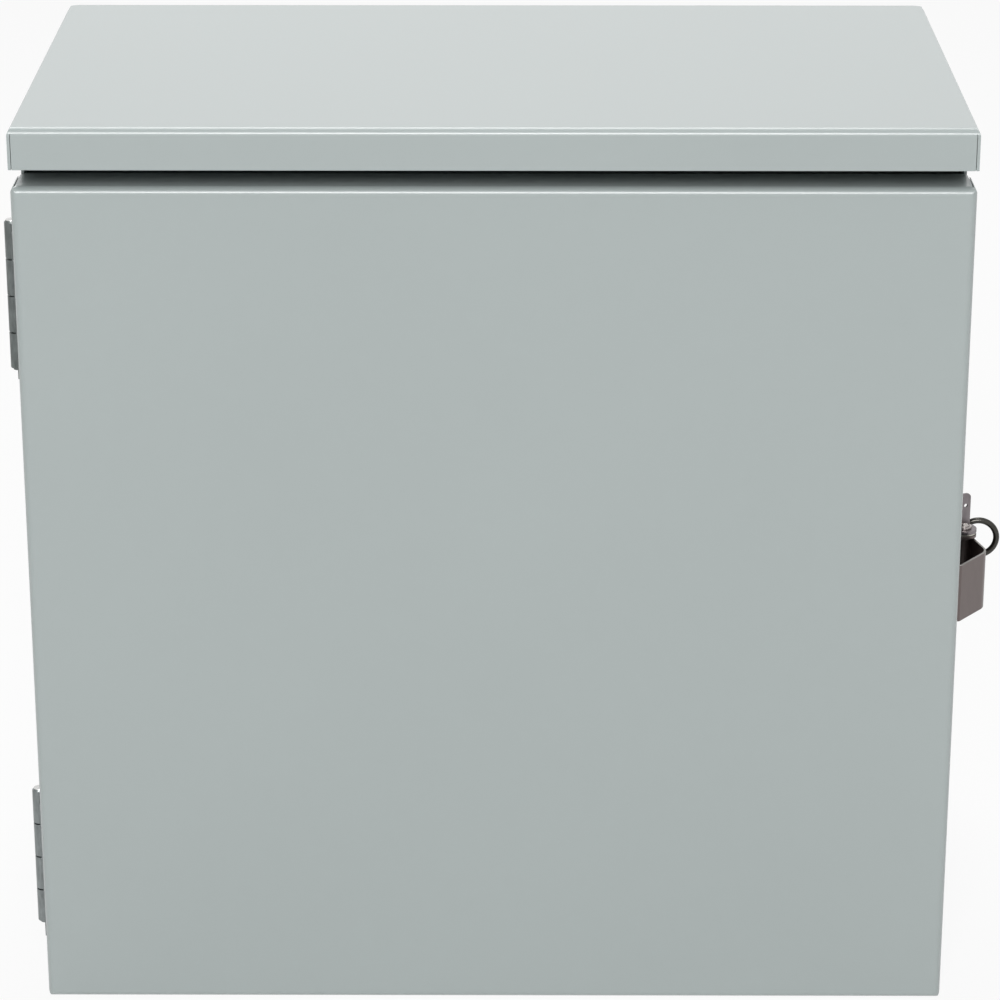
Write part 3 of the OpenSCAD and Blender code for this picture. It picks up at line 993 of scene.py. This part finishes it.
@dataclass
class Inside:
    """The studs, washer and nut on the inside of the back wall.

    The flash profile gives shares of the weld collar's radius and height, from its foot up.
    The thread's depth and the tip's taper are shares of the pitch.
    """

    nut: EasedNode = EasedNode("bond_nut", Body.BOX, Slot.ZINC, 0.3 * MM)
    flash_profile: Profile = ((1.0, 0.0), (0.96, 0.35), (0.75, 0.8))
    flash_height: float = 2.2 * MM
    panel_flash: float = 7.9 * MM
    panel_pitch: float = 1.4 * MM
    panel_crest: float = 3.95 * MM
    bond_pitch: float = 1.0 * MM
    bond_crest: float = 3.0 * MM
    thread_depth: float = 0.61
    tip_taper: float = 0.6

    def dress(self, frame: dict, finishes: Finishes) -> None:
        """Cuts the studs' threads and plates the fittings.

        Args:
            finishes: The part's finishes.
        """
        dress(frame, ["bond_washer"], finishes.zinc)
        self.nut.build(frame, finishes.zinc)
        low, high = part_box("panel_studs")
        places = [
            (x, z)
            for x in (low.x + self.panel_flash, high.x - self.panel_flash)
            for z in (low.z + self.panel_flash, high.z - self.panel_flash)
        ]
        self._studs(
            "panel_studs", places, self.panel_flash, self.panel_crest, self.panel_pitch, finishes
        )
        low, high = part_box("bond_stud")
        middle = (low + high) / 2
        flash = (high.x - low.x) / 2
        self._studs(
            "bond_stud", [(middle.x, middle.z)], flash, self.bond_crest, self.bond_pitch, finishes
        )

    def _studs(
        self,
        node: str,
        places: list[tuple[float, float]],
        flash: float,
        crest: float,
        pitch: float,
        finishes: Finishes,
    ) -> None:
        """Replaces a node of plain studs by threaded ones.

        Args:
            node: The CAD node.
            places: X and Z of each stud's axis.
            flash: Radius of the weld's collar.
            crest: Outside radius of the thread.
            pitch: Rise of one turn.
            finishes: The part's finishes.
        """
        low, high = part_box(node)
        forward = Vector((0.0, -1.0, 0.0))
        length = high.y - low.y
        root = crest - self.thread_depth * pitch
        lead = self.flash_height + pitch
        thread = Thread(root, crest, pitch, int((length - lead - pitch) / pitch))
        collar = tuple(
            (radius * flash, rise * self.flash_height) for radius, rise in self.flash_profile
        )
        shank = (
            (crest, self.flash_height),
            (root, lead),
            (root, length - pitch),
            (root - self.tip_taper * pitch, length),
            (0.0, length),
        )
        profile = ((0.0, 0.0), *collar, *shank)
        shape = bmesh.new()
        for x, z in places:
            base = Vector((x, high.y, z))
            turn(shape, profile, base, forward)
            thread.wind(shape, base + forward * lead, forward)
        piece = add_piece(f"{node}_threaded", shape, finishes.zinc, Body.BOX)
        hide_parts(node)


@dataclass(frozen=True)
class Softbox:
    """A rectangular lamp.

    Attributes:
        name: The lamp's name.
        place: Where it stands.
        aim: The point that it faces.
        size: Its width and height.
        power: Its power in watts.
    """

    name: str
    place: Place
    aim: Place
    size: tuple[float, float]
    power: float

    def build(self) -> None:
        """Adds the lamp to the scene."""
        lamp = bpy.data.lights.new(self.name, "AREA")
        lamp.shape = "RECTANGLE"
        lamp.size, lamp.size_y = self.size
        lamp.energy = self.power
        box = bpy.data.objects.new(self.name, lamp)
        bpy.context.scene.collection.objects.link(box)
        box.location = self.place
        facing = Vector(self.aim) - Vector(self.place)
        box.rotation_euler = facing.to_track_quat("-Z", "Y").to_euler()


@dataclass
class Studio:
    """Soft light, a white floor and the photograph's camera.

    Camera angles are in degrees, and the lens and its sensor in millimetres.
    """

    key: Softbox = Softbox(
        "key_softbox", (-0.15, -7.0, 3.95), (0.0, -0.3, 0.05), (3.4, 2.4), 378.0
    )
    overhead: Softbox = Softbox(
        "top_softbox", (-0.2, 1.1, 2.8), (0.0, -0.1, 0.2), (1.9, 1.9), 49.0
    )
    camera_place: Place = (0.0122, -2.5770, 0.9030)
    camera_tilt: float = 20.663
    camera_turn: float = 0.2066
    lens: float = 131.667
    sensor: float = 36.0
    far_clip: float = 100.0
    horizon: float = 0.04
    zenith: float = 0.3
    floor_size: float = 24.0
    floor_grey: float = 0.86
    floor_glow: float = 0.9

    def build(self) -> None:
        """Makes the world, floor, lamps and camera."""
        self._world()
        self._floor()
        self.key.build()
        self.overhead.build()
        self._camera()

    def _world(self) -> None:
        """A white surround for the eye and for reflections, softer as a light."""
        world = bpy.data.worlds.new("studio")
        bpy.context.scene.world = world
        world.use_nodes = True
        graph = Graph(world.node_tree)
        seen = self._seen(graph)
        direction = graph.out(graph.node("ShaderNodeTexCoord"), "Generated")
        parts = graph.node("ShaderNodeSeparateXYZ", None, {0: direction})
        height = graph.maths("MAXIMUM", graph.out(parts, "Z"), 0.0)
        dome = height * (self.zenith - self.horizon) + self.horizon
        strength = seen * (1.0 - dome) + dome
        shader = graph.node("ShaderNodeBackground", None, {"Color": WHITE, "Strength": strength})
        graph.node("ShaderNodeOutputWorld", None, {0: graph.out(shader, 0)})

    @staticmethod
    def _seen(graph: Graph) -> Wire:
        """Gives 1 on rays from the eye, in reflections and through glass."""
        rays = graph.node("ShaderNodeLightPath")
        total = graph.out(rays, "Is Camera Ray") + graph.out(rays, "Is Glossy Ray")
        total = total + graph.out(rays, "Is Transmission Ray")
        return graph.maths("MINIMUM", total, 1.0)

    def _floor(self) -> None:
        """A pale floor under the part that keeps its shadow."""
        low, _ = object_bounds()
        shape = bmesh.new()
        bmesh.ops.create_grid(shape, x_segments=1, y_segments=1, size=self.floor_size / 2)
        bmesh.ops.translate(shape, verts=shape.verts, vec=Vector((0.0, 0.0, low.z)))
        mesh = bpy.data.meshes.new("floor")
        shape.to_mesh(mesh)
        shape.free()
        material, graph = empty_material("pale_floor")
        seen = self._seen(graph)
        grey = (self.floor_grey, self.floor_grey, self.floor_grey, 1.0)
        matt = graph.node("ShaderNodeBsdfDiffuse", None, {"Color": grey})
        glow = graph.node("ShaderNodeEmission", None, {"Color": WHITE, "Strength": 1.0})
        blend = graph.node(
            "ShaderNodeMixShader",
            None,
            {0: seen * self.floor_glow, 1: graph.out(matt, 0), 2: graph.out(glow, 0)},
        )
        graph.node("ShaderNodeOutputMaterial", None, {0: graph.out(blend, 0)})
        mesh.materials.append(material)
        floor = bpy.data.objects.new("floor", mesh)
        bpy.context.scene.collection.objects.link(floor)
        floor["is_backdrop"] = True

    def _camera(self) -> None:
        """Puts the camera where the photograph was taken from."""
        view = bpy.data.cameras.new("camera")
        view.lens = self.lens
        view.sensor_width = self.sensor
        view.clip_end = self.far_clip
        camera = bpy.data.objects.new("camera", view)
        bpy.context.scene.collection.objects.link(camera)
        camera.location = self.camera_place
        camera.rotation_euler = (
            math.radians(90 - self.camera_tilt),
            0.0,
            math.radians(self.camera_turn),
        )
        bpy.context.scene.camera = camera


def main() -> None:
    """Loads the frame, dresses every node and sets the studio."""
    logging.basicConfig(level=logging.INFO, format="%(name)s: %(message)s")
    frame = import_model()
    finishes = Finishes()
    for assembly in (Shell(), Hinges(), Latch(), Inside()):
        assembly.dress(frame, finishes)
    Studio().build()
    bpy.context.scene.view_settings.view_transform = "Standard"
    bpy.context.view_layer.update()


if __name__ == "__main__":
    main()
